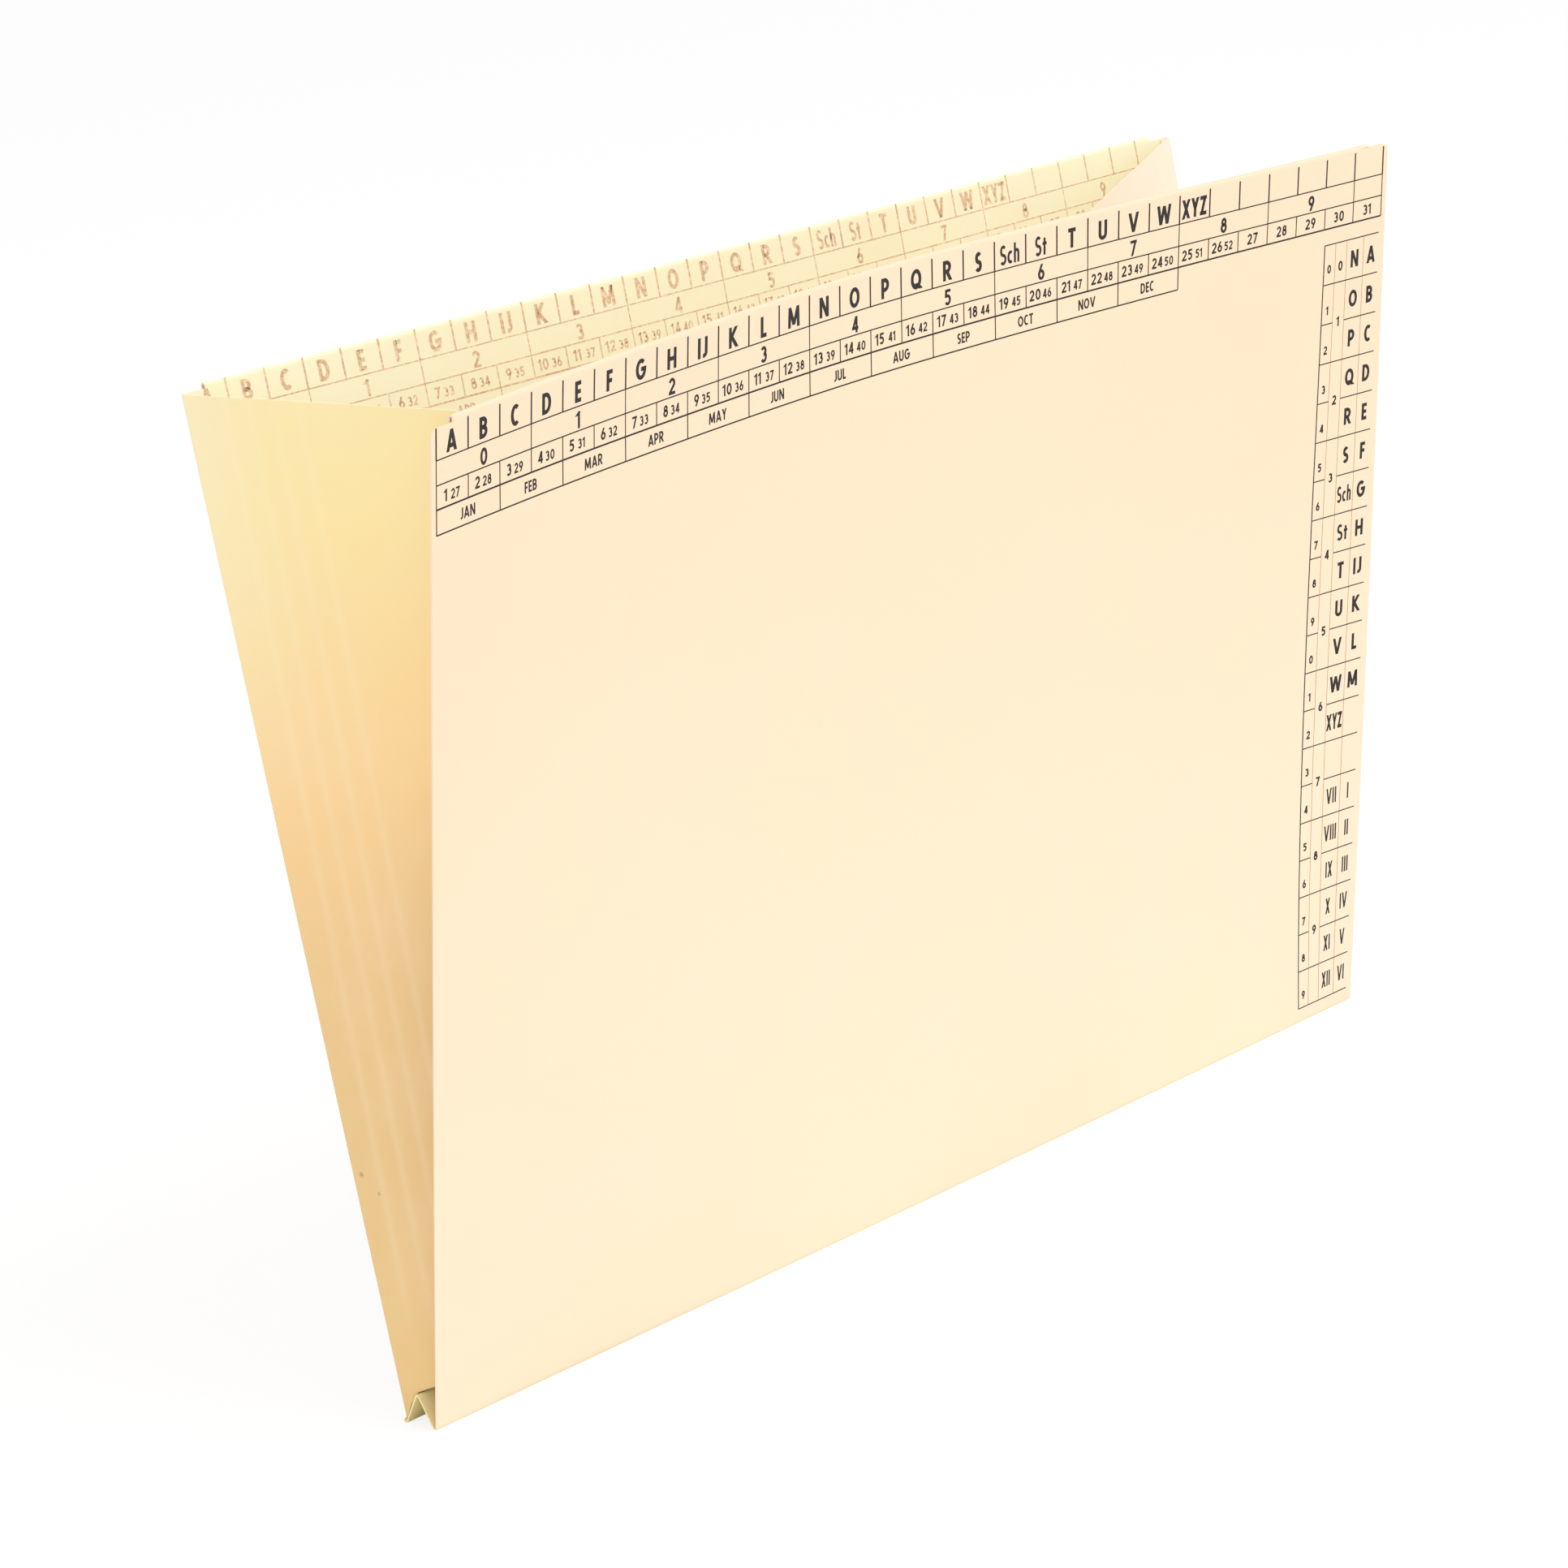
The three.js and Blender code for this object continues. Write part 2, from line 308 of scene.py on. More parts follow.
# The card's two faces lie half a thickness to each side, joined by the cut edges
corner_a, corner_b = points[cells], points[np.roll(cells, -1, axis=1)]
corner_c = points[np.roll(cells, 1, axis=1)]
turned = np.cross(corner_b - corner_a, corner_c - corner_a)
normals = np.zeros(points.shape)
for i in range(4):
    np.add.at(normals, cells[:, i], turned[:, i] / np.linalg.norm(turned[:, i], axis=1)[:, None])
normals /= np.linalg.norm(normals, axis=1)[:, None]
count = len(points)
sides = {}
for a, b in np.concatenate([cells[:, [i, (i + 1) % 4]] for i in range(4)]):
    sides[(int(a), int(b))] = True
rim = [(a, b) for a, b in sides if (b, a) not in sides]
faces = cells.tolist() + (cells[:, ::-1] + count).tolist()
faces += [(b, a, a + count, b + count) for a, b in rim]
vertices = np.concatenate([points + normals * half_card, points - normals * half_card])


def mesh_piece(name, vertices, faces, smooth):
    mesh = bpy.data.meshes.new(name)
    mesh.from_pydata((np.asarray(vertices) / 1000).tolist(), [], [tuple(face) for face in faces])
    mesh.polygons.foreach_set("use_smooth", [smooth] * len(mesh.polygons))
    mesh.validate()
    piece = bpy.data.objects.new(name, mesh)
    bpy.context.scene.collection.objects.link(piece)
    return piece


sheet = mesh_piece("card_sheet", vertices, faces, True)
rim_ends = {(min(a, b) + k, max(a, b) + k) for a, b in rim for k in (0, count)}
sharp = sheet.data.attributes.new("sharp_edge", "BOOLEAN", "EDGE")
sharp.data.foreach_set("value", [tuple(sorted(edge.vertices)) in rim_ends for edge in sheet.data.edges])
place = sheet.data.attributes.new("place", "FLOAT_VECTOR", "POINT")
place.data.foreach_set("vector", np.concatenate([places, places]).ravel())
face_side = sheet.data.attributes.new("face_side", "FLOAT", "POINT")
face_side.data.foreach_set("value", [1.0] * count + [0.0] * count)


class Value:
    """A shader socket that arithmetic can be written with."""

    def __init__(self, tree, socket):
        self.tree = tree
        self.socket = socket

    def join(self, operation, *others):
        node = self.tree.nodes.new("ShaderNodeMath")
        node.operation = operation
        for slot, value in zip(node.inputs, (self, *others)):
            if isinstance(value, Value):
                self.tree.links.new(value.socket, slot)
            else:
                slot.default_value = value
        return Value(self.tree, node.outputs[0])

    def __add__(self, other):
        return self.join("ADD", other)

    __radd__ = __add__

    def __mul__(self, other):
        return self.join("MULTIPLY", other)

    __rmul__ = __mul__

    def __sub__(self, other):
        return self.join("SUBTRACT", other)

    def __rsub__(self, other):
        return (self * -1).join("ADD", other)

    def __truediv__(self, other):
        return self.join("DIVIDE", other)

    def bell(self, width):
        """1 where the value is 0, falling to 0 over about twice the width."""
        scaled = self / width
        return (scaled * scaled * -1).join("EXPONENT")

    def step(self, low, high):
        """0 below low, 1 above high, smooth between them."""
        node = self.tree.nodes.new("ShaderNodeMapRange")
        node.interpolation_type = "SMOOTHSTEP"
        self.tree.links.new(self.socket, node.inputs["Value"])
        node.inputs["From Min"].default_value = low
        node.inputs["From Max"].default_value = high
        return Value(self.tree, node.outputs["Result"])


class Finish:
    """A material whose nodes are added by type, settings and socket values."""

    def __init__(self, name):
        self.material = bpy.data.materials.new(name)
        self.material.use_nodes = True
        self.tree = self.material.node_tree
        self.shader = self.tree.nodes["Principled BSDF"]

    def node(self, kind, settings=None, output=0, **values):
        node = self.tree.nodes.new("ShaderNode" + kind)
        for key, setting in (settings or {}).items():
            if key == "stops":
                for i, (position, colour) in enumerate(setting):
                    stop = node.color_ramp.elements[i] if i < 2 else node.color_ramp.elements.new(position)
                    stop.position = position
                    stop.color = (*colour, 1)
            else:
                setattr(node, key, setting)
        for key, value in values.items():
            name = int(key[1:]) if key[1:].isdigit() else key.replace("_", " ")
            self.feed(node.inputs[name], value)
        return Value(self.tree, node.outputs[output])

    def feed(self, slot, value):
        if isinstance(value, Value):
            self.tree.links.new(value.socket, slot)
        elif isinstance(value, tuple) and slot.type == "RGBA":
            slot.default_value = (*value, 1)
        else:
            slot.default_value = value

    def blend(self, amount, first, second):
        settings = {"data_type": "RGBA", "blend_type": "MIX"}
        return self.node("Mix", settings, 2, i0=amount, i6=first, i7=second)

    def set(self, **values):
        for key, value in values.items():
            self.feed(self.shader.inputs[key.replace("_", " ")], value)


def tone(red, green, blue):
    """A colour as seen on screen, 0 to 255, as the linear values that a shader takes."""
    shades = np.array([red, green, blue]) / 255
    linear = np.where(shades > 0.04045, ((shades + 0.055) / 1.055) ** 2.4, shades / 12.92)
    return tuple(float(value) for value in linear)


card = Finish("manila_card")
spot = card.node("Attribute", {"attribute_name": "place"}, 1)
across = card.node("SeparateXYZ", output=0, Vector=spot)
up = card.node("SeparateXYZ", output=1, Vector=spot)
stretch = card.node("SeparateXYZ", output=2, Vector=spot)
outside = card.node("Attribute", {"attribute_name": "face_side"}, 2)
here = card.node("TexCoord", output=3)
on_left_flap = (stretch - 3).bell(0.3)
on_right_flap = (stretch - 4).bell(0.3)
on_foot = (stretch - 1).bell(0.3)

# Uncoated card: soft clouds of fibre, fine flecks and fibres, and pale score lines on the flaps
clouds = card.node("TexNoise", None, 0, Vector=here, Scale=34, Detail=5, Roughness=0.6)
fleck = card.node("TexNoise", None, 0, Vector=here, Scale=900, Detail=3, Roughness=0.65)
along_fibres = card.node("Mapping", None, 0, Vector=here, Scale=(260, 900, 900))
fibre = card.node("TexNoise", None, 0, Vector=along_fibres, Scale=1.0, Detail=4,
                  Roughness=0.6, Distortion=0.6)
score_tone_width = 1.1
scores = sum((across - up * score_spread - start).bell(score_tone_width) for start in score_starts)
scores = scores * (on_left_flap + on_right_flap) * up.step(8, 40)

# The panels are a cream that is paler towards the foot; the paleness towards the foot is painted light
cream_with_painted_light = card.blend(up.step(10, 215), tone(252, 232, 207), tone(252, 222, 193))

# The left flap's outer face goes from tan at the foot to pale yellow at the top,
# paler beside its fold at the top and darker towards its loose edge at the foot.
# All of this is painted light and shade on the one card: painted shade towards the foot
# and the loose edge, a painted highlight beside the fold, and a warm tint that stands in
# for light bounced off the card
painted_flap_tones = [(0, tone(236, 195, 125)), (1, tone(255, 237, 174)), (0.28, tone(233, 191, 124)),
              (0.44, tone(239, 196, 132)), (0.62, tone(253, 211, 146)), (0.86, tone(255, 230, 162))]
painted_tones_end = 217
painted_flap_shading = card.node("ValToRGB", {"stops": painted_flap_tones}, 0, Fac=up / painted_tones_end)
painted_light_width = 24
# Painted highlight: paler beside the fold at the top
painted_light_by_fold = (across * -1 + painted_light_width).step(0, painted_light_width) * up.step(120, 215)
painted_flap_shading = card.blend(painted_light_by_fold * 0.75, painted_flap_shading, tone(254, 239, 196))
# Painted shade: darker towards the loose edge at the foot
painted_shade_by_loose_edge = (across - up * 0.15).step(0, 26) * (up * -1 + 150).step(0, 80)
painted_flap_shading = card.blend(painted_shade_by_loose_edge * 0.7, painted_flap_shading, tone(217, 175, 114))
colour = card.blend(on_left_flap * outside, cream_with_painted_light, painted_flap_shading)

# The inner face is paler on the back panel and left flap, up to where the hem turns over; this paleness is
# painted light, standing in for light that shines through the thin card and bounces between the panels
hem_fade = 2
below_hem = (up * -1 + back_height).step(-hem_fade, 0)
inner_face_painted_light = ((stretch - 2).bell(0.3) + on_left_flap) * (1 - outside) * below_hem
colour = card.blend(inner_face_painted_light, colour, tone(255, 253, 220))
colour = card.blend(on_right_flap, colour, tone(254, 236, 217))
# Painted light: the foot's deeper yellow stands in for warm light bounced into the shaded pleats
colour = card.blend(on_foot, colour, tone(255, 234, 172))

# The paper's own unevenness lies over all of these
colour = card.blend((clouds - 0.5) * 0.5 + 0.2, colour, tone(247, 229, 190))
colour = card.blend(fleck.step(0.62, 0.8) * 0.10, colour, tone(214, 178, 120))
colour = card.blend(scores * 0.11, colour, tone(255, 244, 214))
colour = card.blend(fibre.step(0.6, 0.85) * 0.05, colour, tone(255, 250, 232))

# Two specks of dirt on the left flap, each by its place across, its height and its size
specks = ((2.0, 53.6, 0.45), (5.8, 49.5, 0.3))
for speck_across, speck_up, size in specks:
    near = (across - speck_across).bell(size) * (up - speck_up).bell(size * 1.2) * on_left_flap
    colour = card.blend(near * 0.6, colour, tone(150, 104, 66))

# The paper's tooth
tooth = card.node("Bump", None, 0, Strength=0.10, Distance=0.00006, Height=fleck * 0.6 + fibre * 0.4)
card.set(Base_Color=colour, Roughness=(clouds - 0.5) * 0.2 + 0.82, Normal=tooth)
card.shader.inputs["Specular IOR Level"].default_value = 0.25
card.shader.inputs["Sheen Weight"].default_value = 0.08
sheet.data.materials.append(card.material)
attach(sheet, "root")
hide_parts("folder")

# The printed index tables.
# Thin ruled lines and condensed sans lettering, offset printed in one colour.
# The front panel's print is near-black; the back panel's is a faint tan.
ink_thickness = 0.02
ink_gap = 0.003


def arc(x, y, wide, high, start, end, steps=14):
    turns = np.radians(np.linspace(start, end, steps))
    return [(x + wide * np.cos(t), y + high * np.sin(t)) for t in turns]


def bowl(x, top, bottom, right):
    return arc(x, (top + bottom) / 2, right - x, (top - bottom) / 2, 90, -90)


def letter_form(letter, h):
    """Width and strokes of a letter one unit tall, with strokes of half width h."""
    widths = {"A": .72, "B": .57, "C": .6, "D": .64, "E": .44, "F": .43, "G": .72, "H": .66,
              "I": 2 * h, "J": .42, "K": .63, "L": .43, "M": .9, "N": .68, "O": .74, "P": .57,
              "Q": .76, "R": .6, "S": .5, "T": .54, "U": .62, "V": .74, "W": 1.02, "X": .64,
              "Y": .62, "Z": .52, "c": .42, "h": .42, "t": .32, "0": .62, "1": .32}
    w = widths.get(letter, .58)
    l, r, b, t, c = h, w - h, h, 1 - h, w / 2
    half = (t - b) / 2
    stem, right = [(l, 0), (l, 1)], [(r, 0), (r, 1)]
    ring = arc(c, .5, c - h, half, 0, 360, 25)
    forms = {
        "A": [[(l * .9, 0), (c, 1)], [(c, 1), (w - l * .9, 0)], [(w * .22, .27), (w * .78, .27)]],
        "B": [stem, [(l, t)] + bowl(w * .42, t, .51, r * .94) + [(l, .51)],
              [(l, .51)] + bowl(w * .42, .51, b, r) + [(l, b)]],
        "C": [arc(w * .56, .5, w * .56 - h, half, 52, 308, 22)],
        "D": [stem, [(l, t)] + arc(w * .42, .5, r - w * .42, half, 90, -90, 18) + [(l, b)]],
        "E": [stem, [(l, t), (w, t)], [(l, .5), (w * .94, .5)], [(l, b), (w, b)]],
        "F": [stem, [(l, t), (w, t)], [(l, .49), (w * .92, .49)]],
        "G": [arc(w * .52, .5, w * .52 - h, half, 48, 360, 24) + [(w * .52, .5)]],
        "H": [stem, right, [(l, .5), (r, .5)]],
        "I": [stem],
        "J": [[(r, 1)] + arc(r * .36, b + .16, r * .64, .16, 0, -100, 12)],
        "K": [stem, [(w * .24, .47), (r, 1)], [(w * .3, .56), (w * .93, 0)]],
        "L": [stem, [(l, b), (w, b)]],
        "M": [[(l * 1.2, 0), (w * .17, 1)], [(w * .17, 1), (c, .12)], [(c, .12), (w * .83, 1)],
              [(w * .83, 1), (w - l * 1.2, 0)]],
        "N": [stem, right, [(l, 1), (r, 0)]],
        "O": [ring],
        "P": [stem, [(l, t)] + bowl(w * .42, t, .42, r) + [(l, .42)]],
        "Q": [ring, [(w * .52, .3), (w * .95, 0)]],
        "R": [stem, [(l, t)] + bowl(w * .42, t, .45, r * .96) + [(l, .45)], [(w * .46, .47), (w * .9, 0)]],
        "S": [arc(c, t - half / 2, c - h * 1.2, half / 2, 35, 270)
              + arc(c, b + half / 2, c - h, half / 2, 90, -145)[1:]],
        "T": [[(0, t), (w, t)], [(c, 0), (c, t)]],
        "U": [[(l, 1), (l, .5)] + arc(c, b + .22, c - h, .22, 180, 360) + [(r, .5), (r, 1)]],
        "V": [[(l * .9, 1), (c, 0)], [(c, 0), (w - l * .9, 1)]],
        "W": [[(l * .9, 1), (w * .27, 0)], [(w * .27, 0), (c, .96)], [(c, .96), (w * .73, 0)],
              [(w * .73, 0), (w - l * .9, 1)]],
        "X": [[(l, 0), (w - l, 1)], [(l, 1), (w - l, 0)]],
        "Y": [[(l, 1), (c, .44)], [(w - l, 1), (c, .44)], [(c, 0), (c, .48)]],
        "Z": [[(0, t), (w, t)], [(0, b), (w, b)], [(w - l * 1.1, 1), (l * 1.1, 0)]],
        "c": [arc(w * .56, .33, w * .56 - h, .33 - h, 52, 308)],
        "h": [stem, [(l, .36)] + arc(c, .5, c - h, .2 - h, 170, 0, 10) + [(r, .3), (r, 0)]],
        "t": [[(c, 0), (c, .86)], [(0, .58), (w, .58)]],
        "0": [ring],
        "1": [[(w - h * 1.1, 0), (w - h * 1.1, 1)], [(0, .74), (w - h, .93)]],
        "2": [arc(c, t - .24, c - h, .24, 165, -25) + [(w * .2, .14)], [(0, b), (w, b)]],
        "3": [arc(c * .9, t - .215, c - h * 1.2, .215, 150, -90),
              arc(c * .95, b + .25, c - h, .25, 90, -150)],
        "4": [[(w * .72, 0), (w * .72, 1)], [(0, .28), (w, .28)], [(h * 1.1, .26), (w * .68, 1)]],
        "5": [[(w * .2, t), (w * .92, t)], [(w * .26, 1), (w * .18, .5)],
              arc(c * .9, b + .25, c - h * .9, .25, 128, -145)],
        "6": [arc(c, b + .24, c - h, .24, 0, 360, 22), [(w * .14, .4), (w * .62, 1)]],
        "7": [[(0, t), (w, t)], [(w - h * 1.1, .96), (w * .3, 0)]],
        "8": [arc(c, t - .2, c - h * 1.5, .2, 0, 360, 20), arc(c, b + .235, c - h, .235, 0, 360, 22)],
        "9": [arc(c, t - .24, c - h, .24, 0, 360, 22), [(w * .38, 0), (w * .86, .6)]],
    }
    return w, forms[letter]


def stroke_strip(stroke, h):
    """Left and right side points of a stroke. A straight stroke is cut off level at its ends."""
    p = np.array(stroke, float)
    if len(p) == 2 and abs(p[1, 1] - p[0, 1]) > 1e-6:
        half = h * np.linalg.norm(p[1] - p[0]) / abs(p[1, 1] - p[0, 1])
        return p - [half, 0], p + [half, 0], False
    closed = np.allclose(p[0], p[-1])
    p = p[:-1] if closed else p
    ahead = (np.roll(p, -1, axis=0) - p) if closed else np.diff(p, axis=0)
    keep = np.linalg.norm(ahead, axis=1) > 1e-6
    if not closed:
        p, ahead = p[np.append(keep, True)], ahead[keep]
    ahead = ahead / np.linalg.norm(ahead, axis=1)[:, None]
    before = np.roll(ahead, 1, axis=0) if closed else np.vstack([ahead[:1], ahead])
    after = ahead if closed else np.vstack([ahead, ahead[-1:]])
    mean = before + after
    mean /= np.linalg.norm(mean, axis=1)[:, None]
    reach = h / np.clip((mean * after).sum(axis=1), 0.5, 1)
    side = np.stack([-mean[:, 1], mean[:, 0]], axis=1) * reach[:, None]
    return p + side, p - side, closed


class Print:
    """Ink on a panel: flat outlines that are laid on the card as thin closed bodies."""

    def __init__(self, name, point_on, left, stretch, top):
        self.name, self.point_on, self.left, self.stretch, self.top = name, point_on, left, stretch, top
        self.spots, self.faces = [], []

    def strip(self, left, right, closed=False):
        n = len(left)
        base = len(self.spots)
        for a, b in zip(left, right):
            for level in (0, 1):
                self.spots.append((*a, level))
                self.spots.append((*b, level))
        for i in range(n if closed else n - 1):
            s, e = base + 4 * i, base + 4 * ((i + 1) % n)
            for quad in ((0, 1, 1, 0), (1, 3, 3, 1), (3, 2, 2, 3), (2, 0, 0, 2)):
                self.faces.append((s + quad[0], s + quad[1], e + quad[2], e + quad[3]))
        if not closed:
            self.faces.append((base, base + 2, base + 3, base + 1))
            end = base + 4 * (n - 1)
            self.faces.append((end + 1, end + 3, end + 2, end))

    def rule(self, start, end, width):
        """A ruled line between two places (across, down), cut into short lengths that follow the bow."""
        a, b = np.array(start, float), np.array(end, float)
        along = (b - a) / np.linalg.norm(b - a)
        side = np.array([along[1], -along[0]]) * width / 2
        p = a + np.linspace(0, 1, int(np.linalg.norm(b - a) // 4) + 2)[:, None] * (b - a)
        self.strip(p + side, p - side)

    def word(self, text, centre, foot, height, weight, squeeze=1.0, gap=0.1):
        """A word whose middle is at centre across, standing on foot, counted down from the top edge."""
        forms = [letter_form(letter, weight / 2) for letter in text]
        width = (sum(form[0] for form in forms) + gap * (len(forms) - 1)) * height * squeeze
        x = centre - width / 2
        for wide, strokes in forms:
            for stroke in strokes:
                left, right, closed = stroke_strip(stroke, weight / 2)
                scale = np.array([height * squeeze, -height])
                self.strip(left * scale + [x, foot], right * scale + [x, foot], closed)
            x += (wide + gap) * height * squeeze
        return width

    def lay(self, finish):
        spots = np.array(self.spots)
        level = half_card + ink_gap + ink_thickness * spots[:, 2]
        body = self.point_on(spots[:, 0] * self.stretch + self.left, self.top - spots[:, 1], level)
        piece = mesh_piece(self.name, body, self.faces, False)
        piece.data.materials.append(finish)
        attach(piece, "root")
        return piece


# The long table: its rows and lettering, in millimetres down from the table's zero line
day_width = 10
days = 31
last_week_day = 26
letters_per_ten = 3
tick_top = 1.33
first_row, second_row, third_row, fourth_row = 7.9, 13.0, 17.9, 23.1
letter_foot, ten_foot, day_foot, month_foot = 7.05, 12.5, 16.8, 21.78
letter_height, ten_height, day_height, week_height, month_height = 4.45, 3.55, 2.5, 2.1, 2.38
letter_weight, lean_weight, ten_weight, small_weight = 0.2, 0.155, 0.185, 0.18
index_letters = "A B C D E F G H IJ K L M N O P Q R S Sch St T U V W XYZ".split()
months = "JAN FEB MAR APR MAY JUN JUL AUG SEP OCT NOV DEC".split()


def index_table(ink, end_tick_top):
    """The table along a panel's top edge: letters, tens, numbers to 52 and months."""
    table_width = day_width * days
    tens = list(range(0, days, letters_per_ten)) + [days]
    for k in range(days + 1):
        top = tick_top if 0 < k < days else end_tick_top
        ink.rule((day_width * k, top), (day_width * k, first_row), 0.44)
        ink.rule((day_width * k, second_row), (day_width * k, third_row), 0.3)
    for k in tens:
        ink.rule((day_width * k, first_row), (day_width * k, second_row), 0.28)
    for k in range(len(months) + 1):
        ink.rule((2 * day_width * k, third_row), (2 * day_width * k, fourth_row), 0.32)
    ink.rule((0, first_row), (table_width, first_row), 0.27)
    ink.rule((0, second_row), (table_width, second_row), 0.27)
    ink.rule((0, third_row), (table_width, third_row), 0.38)
    ink.rule((0, fourth_row), (2 * day_width * len(months), fourth_row), 0.31)
    for k, letters in enumerate(index_letters):
        centre = day_width * k + 4.85
        if letters in ("Sch", "St"):
            ink.word(letters, centre, letter_foot, letter_height, lean_weight, 0.93, 0.08)
        else:
            squeeze = 0.93 if letters == "XYZ" else 1.0
            ink.word(letters, centre, letter_foot, letter_height, letter_weight, squeeze, 0.09)
    for k in range(10):
        centre = letters_per_ten * day_width * k + 14.95
        ink.word(str(k), centre, ten_foot, ten_height, ten_weight)
    for n in range(1, days + 1):
        across = day_width * (n - 1)
        centre = across + (4.95 if n > last_week_day else 2.92)
        ink.word(str(n), centre, day_foot, day_height, small_weight, 1.04, 0.16)
        if n <= last_week_day:
            centre = across + (5.95 if n < 10 else 6.8)
            ink.word(str(n + last_week_day), centre, day_foot, week_height, small_weight, 1.0, 0.14)
    for k, month in enumerate(months):
        centre = 2 * day_width * k + (9.25 if month == "JUN" else 9.75)
        ink.word(month, centre, month_foot, month_height, small_weight, 0.98, 0.11)


# The front panel's zero lines: the table's left end across, and its top in height
front_table_left, front_table_top = -155.05, 217.55
front_ink = Print("front_print", front_point, front_table_left, 1.0, front_table_top)
index_table(front_ink, tick_top)

# The narrow table down the right edge: a digit, a ten and two letters in each row
border, tens_line, letter_line, last_line, table_end = 290.45, 294.35, 298.35, 304.3, 309.5
table_top, pitch, table_rows = 21.83, 9.598, 20
letters_right, letters_left = 301.25, 307.05
row_digit_in, ten_digit_in = 1.9, 1.95
lettered_rows = 14
table_foot = table_top + table_rows * pitch
front_ink.rule((border, table_top - 0.15), (border, table_foot), 0.34)
for line in range(table_rows + 1):
    down = table_top + pitch * line
    if line in (0, table_rows) or line % 2:
        front_ink.rule((border, down), (table_end, down), 0.26)
    else:
        front_ink.rule((border, down), (tens_line, down), 0.26)
        front_ink.rule((letter_line, down), (table_end, down), 0.26)
right_letters = "N O P Q R S Sch St T U V W XYZ".split() + ["", "VII", "VIII", "IX", "X", "XI", "XII"]
left_letters = "A B C D E F G H IJ K L M".split() + ["", "", "I", "II", "III", "IV", "V", "VI"]
for row in range(table_rows):
    foot = table_top + pitch * row
    front_ink.word(str(row % 10), border + row_digit_in, foot + (7.4 if row else 6.95), 2.1, 0.2)
    for letters, centre in ((right_letters[row], letters_right), (left_letters[row], letters_left)):
        if letters and row >= lettered_rows:
            front_ink.word(letters, centre, foot + 6.85, 4.05, 0.19, 0.6, 0.15)
        elif letters:
            squeeze = {"XYZ": 0.66, "Sch": 0.76}.get(letters, 0.95)
            weight = 0.16 if letters in ("Sch", "St") else 0.2
            front_ink.word(letters, centre, foot + 6.9, 4.1, weight, squeeze, 0.09)
front_ink.word("0", tens_line + ten_digit_in, table_top + 6.95, 2.4, 0.2)
for k in range(1, 10):
    front_ink.word(str(k), tens_line + ten_digit_in, table_top + pitch * 2 * k + 1.15, 2.35, 0.2)

ink = Finish("near_black_ink")
ink_here = ink.node("TexCoord", output=3)
ink_mottle = ink.node("TexNoise", None, 0, Vector=ink_here, Scale=700, Detail=3)
ink.set(Base_Color=ink.blend(ink_mottle.step(0.35, 0.75) * 0.5, tone(16, 14, 16), tone(46, 41, 40)),
        Roughness=ink_mottle * 0.2 + 0.5)
front_ink.lay(ink.material)

# Thin brownish inner uprights of the narrow table
upright_ink = Print("narrow_table_uprights", front_point, front_table_left, 1.0, front_table_top)
for line in (tens_line, letter_line, last_line):
    upright_ink.rule((line, table_top), (line, table_foot), 0.17)
thin_ink = Finish("thin_brown_ink")
thin_here = thin_ink.node("TexCoord", output=3)
thin_mottle = thin_ink.node("TexNoise", None, 0, Vector=thin_here, Scale=500, Detail=2)
thin_ink.set(Base_Color=thin_ink.blend(thin_mottle, tone(176, 146, 104), tone(196, 160, 118)), Roughness=0.6)
upright_ink.lay(thin_ink.material)

# The back panel's inner face
back_table_left, back_stretch, back_table_top = -154.65, 1.0025, 220.24
back_end_ticks_lower = 1.6
back_ink = Print("back_print", back_point, back_table_left, back_stretch, back_table_top)
index_table(back_ink, tick_top + back_end_ticks_lower)
faint_ink = Finish("faint_tan_ink")
faint_here = faint_ink.node("TexCoord", output=3)
faint_mottle = faint_ink.node("TexNoise", None, 0, Vector=faint_here, Scale=1100, Detail=4, Roughness=0.7)
faint_patch = faint_ink.node("TexNoise", None, 0, Vector=faint_here, Scale=60, Detail=2)
faint_colour = faint_ink.blend(faint_mottle.step(0.35, 0.68), tone(214, 172, 138), tone(252, 230, 192))
faint_colour = faint_ink.blend(faint_patch.step(0.45, 0.7) * 0.3, faint_colour, tone(190, 146, 112))
faint_ink.set(Base_Color=faint_colour, Roughness=0.75)
back_ink.lay(faint_ink.material)

# The white table top that the folder stands on, the lamps and the camera.
# The camera sees the floor as white, and the folder still throws its shadow on it.
floor_reach = 9000
corners = [(-floor_reach, -floor_reach, 0), (floor_reach, -floor_reach, 0),
           (floor_reach, floor_reach, 0), (-floor_reach, floor_reach, 0)]
floor = mesh_piece("floor", corners, [(0, 1, 2, 3)], False)
white = Finish("white_table")
white.set(Base_Color=tone(246, 246, 246), Roughness=0.9)
light_path = white.tree.nodes.new("ShaderNodeLightPath")
glow = white.tree.nodes.new("ShaderNodeEmission")
glow.inputs["Color"].default_value = (1, 1, 1, 1)
glow_strength, glow_share = 1.06, 0.76
glow.inputs["Strength"].default_value = glow_strength
mixer = white.tree.nodes.new("ShaderNodeMixShader")
seen = Value(white.tree, light_path.outputs["Is Camera Ray"])
white.tree.links.new((seen * glow_share).socket, mixer.inputs[0])
white.tree.links.new(white.shader.outputs[0], mixer.inputs[1])
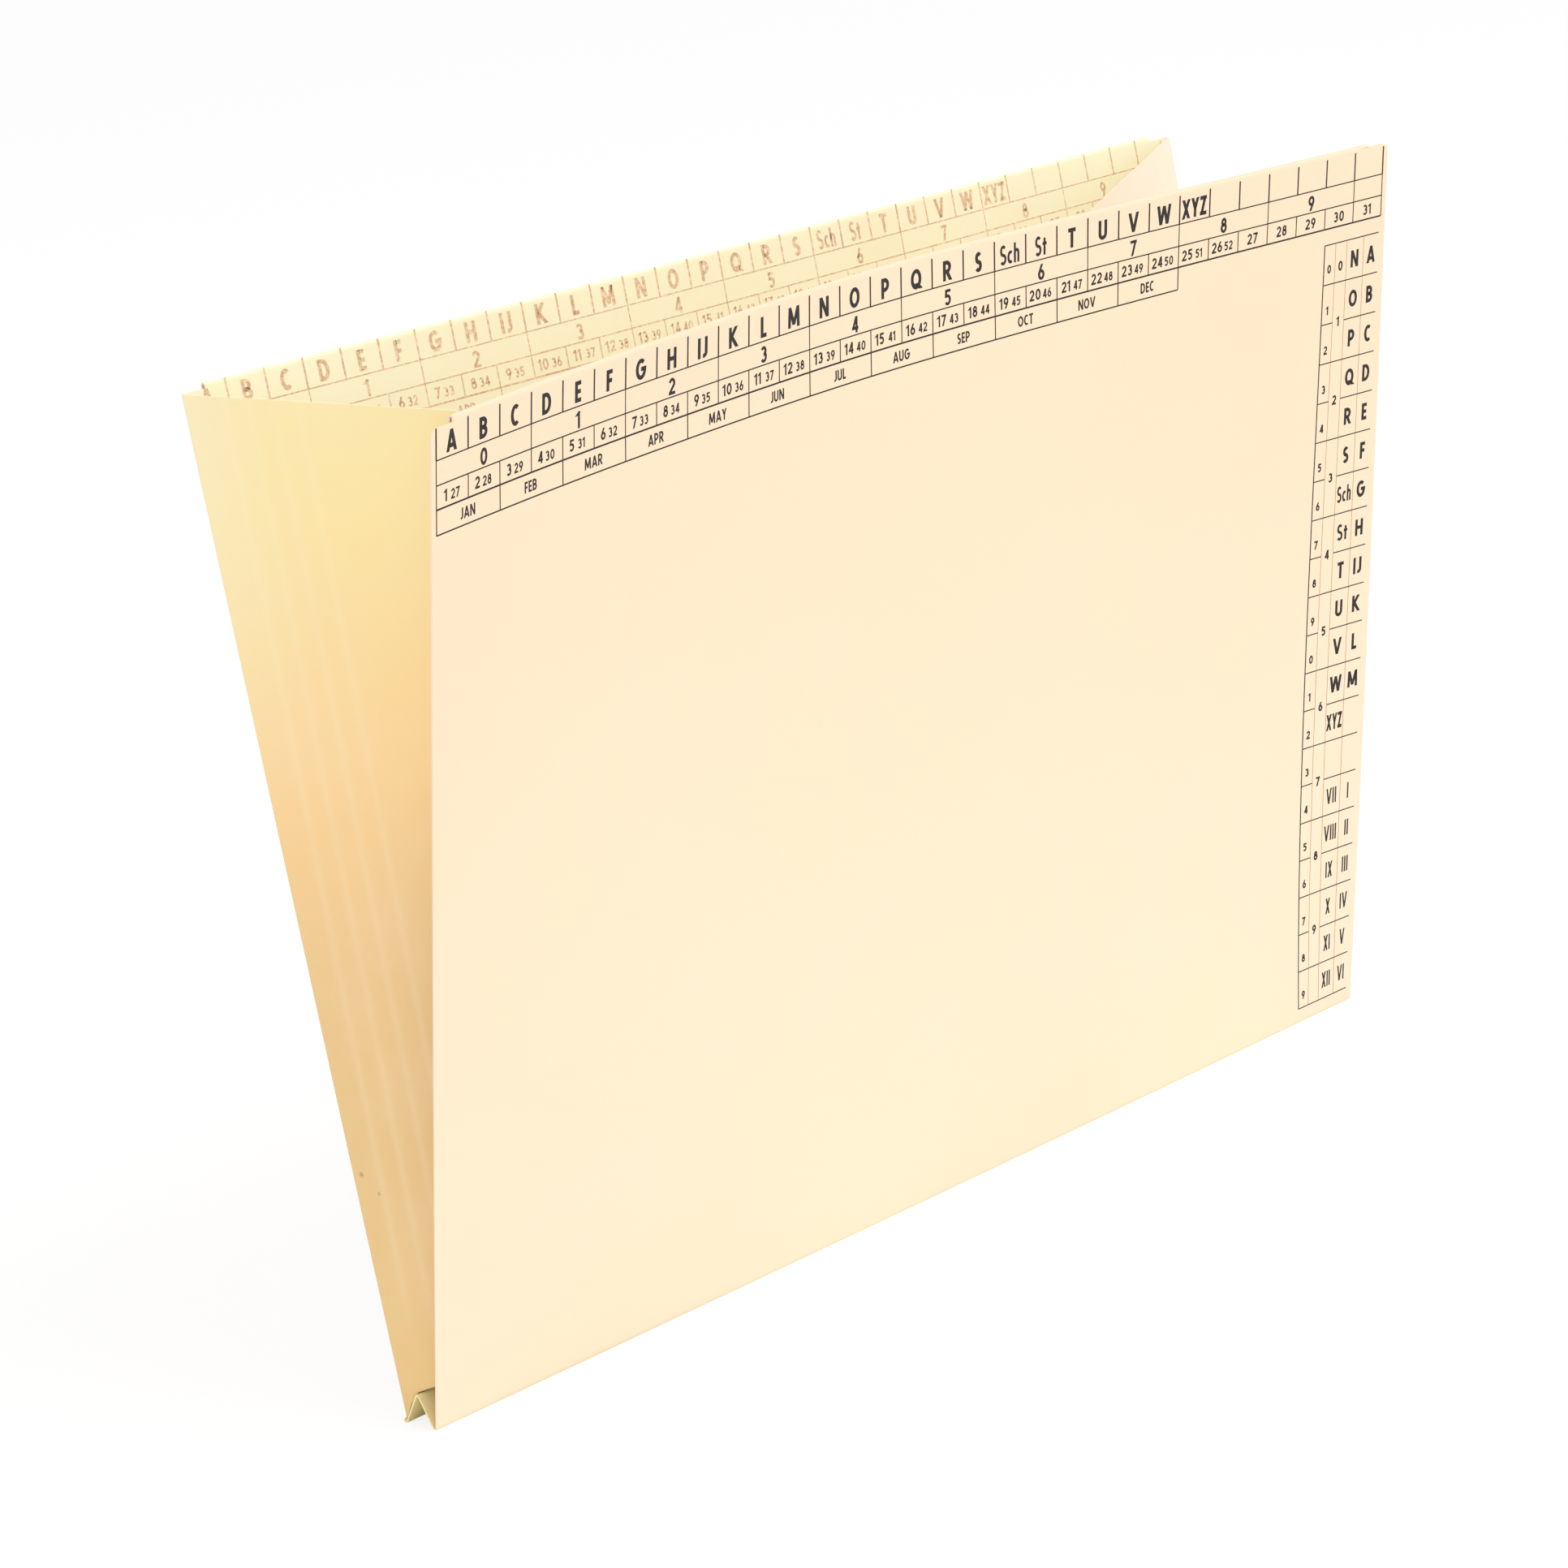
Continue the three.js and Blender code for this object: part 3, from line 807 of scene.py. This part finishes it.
white.tree.links.new(glow.outputs[0], mixer.inputs[2])
white.tree.links.new(mixer.outputs[0], white.tree.nodes["Material Output"].inputs["Surface"])
floor.data.materials.append(white.material)

world = bpy.data.worlds.new("studio")
world.use_nodes = True
bpy.context.scene.world = world
background = world.node_tree.nodes["Background"]
path = world.node_tree.nodes.new("ShaderNodeLightPath")
seen = Value(world.node_tree, path.outputs["Is Camera Ray"]).join(
    "MAXIMUM", Value(world.node_tree, path.outputs["Is Glossy Ray"])).join(
    "MAXIMUM", Value(world.node_tree, path.outputs["Is Transmission Ray"]))
background.inputs["Color"].default_value = (1, 1, 1, 1)
ambient = 0.72
world.node_tree.links.new((seen * (1 - ambient) + ambient).socket, background.inputs["Strength"])


def softbox(name, place, target, width, height, power):
    lamp = bpy.data.lights.new(name, "AREA")
    lamp.shape = "RECTANGLE"
    lamp.size, lamp.size_y, lamp.energy = width, height, power
    box = bpy.data.objects.new(name, lamp)
    bpy.context.scene.collection.objects.link(box)
    away = np.array(place) - np.array(target)
    back = away / np.linalg.norm(away)
    right = np.cross((0, 0, 1), back)
    right /= np.linalg.norm(right)
    above = np.cross(back, right)
    rows = [[right[i], above[i], back[i], place[i]] for i in range(3)]
    box.matrix_world = Matrix(rows + [[0, 0, 0, 1]])


softbox("key_softbox", (0.4, -1.3, 1.9), (0, 0, 0.1), 1.6, 1.2, 23)
softbox("left_softbox", (-1.9, -0.4, 0.9), (0, 0, 0.1), 1.2, 1.2, 6)

camera_data = bpy.data.cameras.new("camera")
camera_data.sensor_width = 36
camera_data.lens = 119.785
camera_data.clip_start = 0.05
camera = bpy.data.objects.new("camera", camera_data)
bpy.context.scene.collection.objects.link(camera)
camera.matrix_world = Matrix(((0.6768037, 0.2566472, -0.6899775, -0.8184836),
                              (-0.7288893, 0.1021873, -0.6769624, -0.7699392),
                              (-0.1032336, 0.9610879, 0.2562282, 0.3967506),
                              (0, 0, 0, 1)))
bpy.context.scene.camera = camera
bpy.context.scene.view_settings.view_transform = "Standard"
